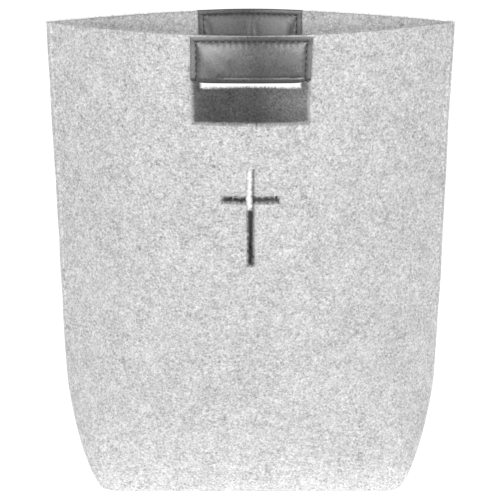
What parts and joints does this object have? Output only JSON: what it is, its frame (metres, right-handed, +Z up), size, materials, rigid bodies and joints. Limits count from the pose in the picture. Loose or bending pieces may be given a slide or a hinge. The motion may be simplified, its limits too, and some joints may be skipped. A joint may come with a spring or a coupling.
{
  "type": "felt bible bag",
  "caption": "Open felt bible bag with a boxed base, a hand hole and a cut-out cross in both faces, and soft silver leather folded round each grip.",
  "frame": {"origin": "middle of the base, at the height of the surface that it stands on", "axes": "+Z up, +X across the front face to the right as seen from the front, +Y from the front face to the back one"},
  "size_m": [0.2832, 0.1256, 0.342],
  "materials": {
    "felt": "matte mottled light grey felt with cut edges",
    "silver_leather": "soft grey metallic sheen, stitched"
  },
  "bodies": {
    "root": {"felt_front": "felt", "felt_back": "felt", "grip_wrap_front": "silver_leather", "grip_wrap_back": "silver_leather"}
  },
  "joints": []
}
